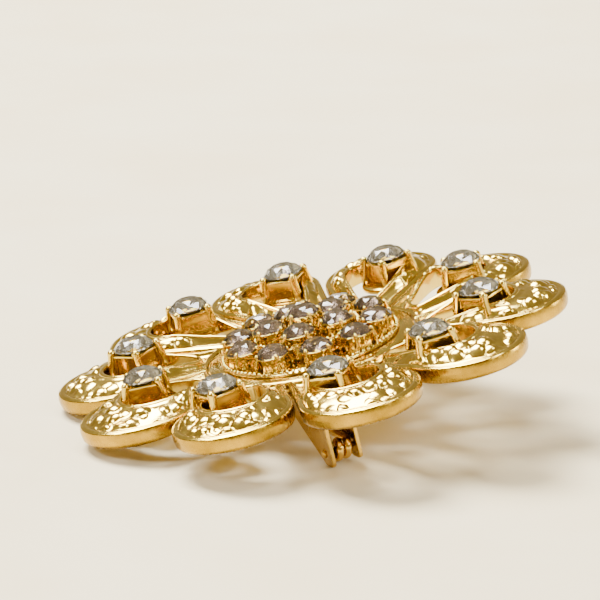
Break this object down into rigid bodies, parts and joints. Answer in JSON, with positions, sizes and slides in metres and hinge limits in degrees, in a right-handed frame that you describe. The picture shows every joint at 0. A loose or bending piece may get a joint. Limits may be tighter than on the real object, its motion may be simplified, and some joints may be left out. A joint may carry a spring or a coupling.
{
  "type": "brooch",
  "caption": "Round flower brooch with openwork petals, raised round glass stones, a stone cluster at the centre and a hinged spring pin with a rollover catch on the back.",
  "frame": {"origin": "centre of the back plate's rear face", "axes": "+Z out through the flower's face; -Y through the petal stone over the pin's hinge"},
  "size_m": [0.05, 0.0504, 0.0113],
  "materials": {
    "plate_gold": "satin gold plate",
    "cast_gold": "polished gold plate with a hammered band",
    "setting_gold": "polished gold plate",
    "cup_gold": "polished gold plate",
    "fitting_gold": "satin gold plate",
    "wire_gold": "bright gold plate",
    "petal_glass": "faceted, foiled on the back",
    "cluster_glass": "faceted, foiled on the back"
  },
  "bodies": {
    "flower": {"back_plate": "plate_gold", "petal_1": "cast_gold", "petal_2": "cast_gold", "petal_3": "cast_gold", "petal_4": "cast_gold", "petal_5": "cast_gold", "petal_6": "cast_gold", "petal_7": "cast_gold", "petal_8": "cast_gold", "petal_9": "cast_gold", "petal_10": "cast_gold", "petal_setting_1": "setting_gold", "petal_setting_2": "setting_gold", "petal_setting_3": "setting_gold", "petal_setting_4": "setting_gold", "petal_setting_5": "setting_gold", "petal_setting_6": "setting_gold", "petal_setting_7": "setting_gold", "petal_setting_8": "setting_gold", "petal_setting_9": "setting_gold", "petal_setting_10": "setting_gold", "petal_stone_1": "petal_glass", "petal_stone_2": "petal_glass", "petal_stone_3": "petal_glass", "petal_stone_4": "petal_glass", "petal_stone_5": "petal_glass", "petal_stone_6": "petal_glass", "petal_stone_7": "petal_glass", "petal_stone_8": "petal_glass", "petal_stone_9": "petal_glass", "petal_stone_10": "petal_glass", "cluster_outer_tier": "cup_gold", "cluster_inner_tier": "cup_gold", "cluster_centre_cup": "cup_gold", "outer_cluster_stone_1": "cluster_glass", "outer_cluster_stone_2": "cluster_glass", "outer_cluster_stone_3": "cluster_glass", "outer_cluster_stone_4": "cluster_glass", "outer_cluster_stone_5": "cluster_glass", "outer_cluster_stone_6": "cluster_glass", "outer_cluster_stone_7": "cluster_glass", "outer_cluster_stone_8": "cluster_glass", "outer_cluster_stone_9": "cluster_glass", "outer_cluster_stone_10": "cluster_glass", "inner_cluster_stone_1": "cluster_glass", "inner_cluster_stone_2": "cluster_glass", "inner_cluster_stone_3": "cluster_glass", "inner_cluster_stone_4": "cluster_glass", "inner_cluster_stone_5": "cluster_glass", "centre_stone": "cluster_glass", "hinge_bracket": "fitting_gold", "hinge_rivet": "wire_gold", "catch_base": "fitting_gold"},
    "pin": {"spring_pin": "wire_gold"},
    "sleeve": {"catch_sleeve": "wire_gold"}
  },
  "joints": [
    {"name": "pin_hinge", "type": "hinge", "parent": "flower", "child": "pin", "pos_m": [-0.00056, -0.01543, -0.0046], "axis": [0.9511, 0.309, 0], "range_deg": [-75, 0]},
    {"name": "catch_roll", "type": "hinge", "parent": "flower", "child": "sleeve", "pos_m": [-0.00783, 0.00944, -0.00255], "axis": [0.309, -0.9511, 0], "range_deg": [0, 110]}
  ]
}
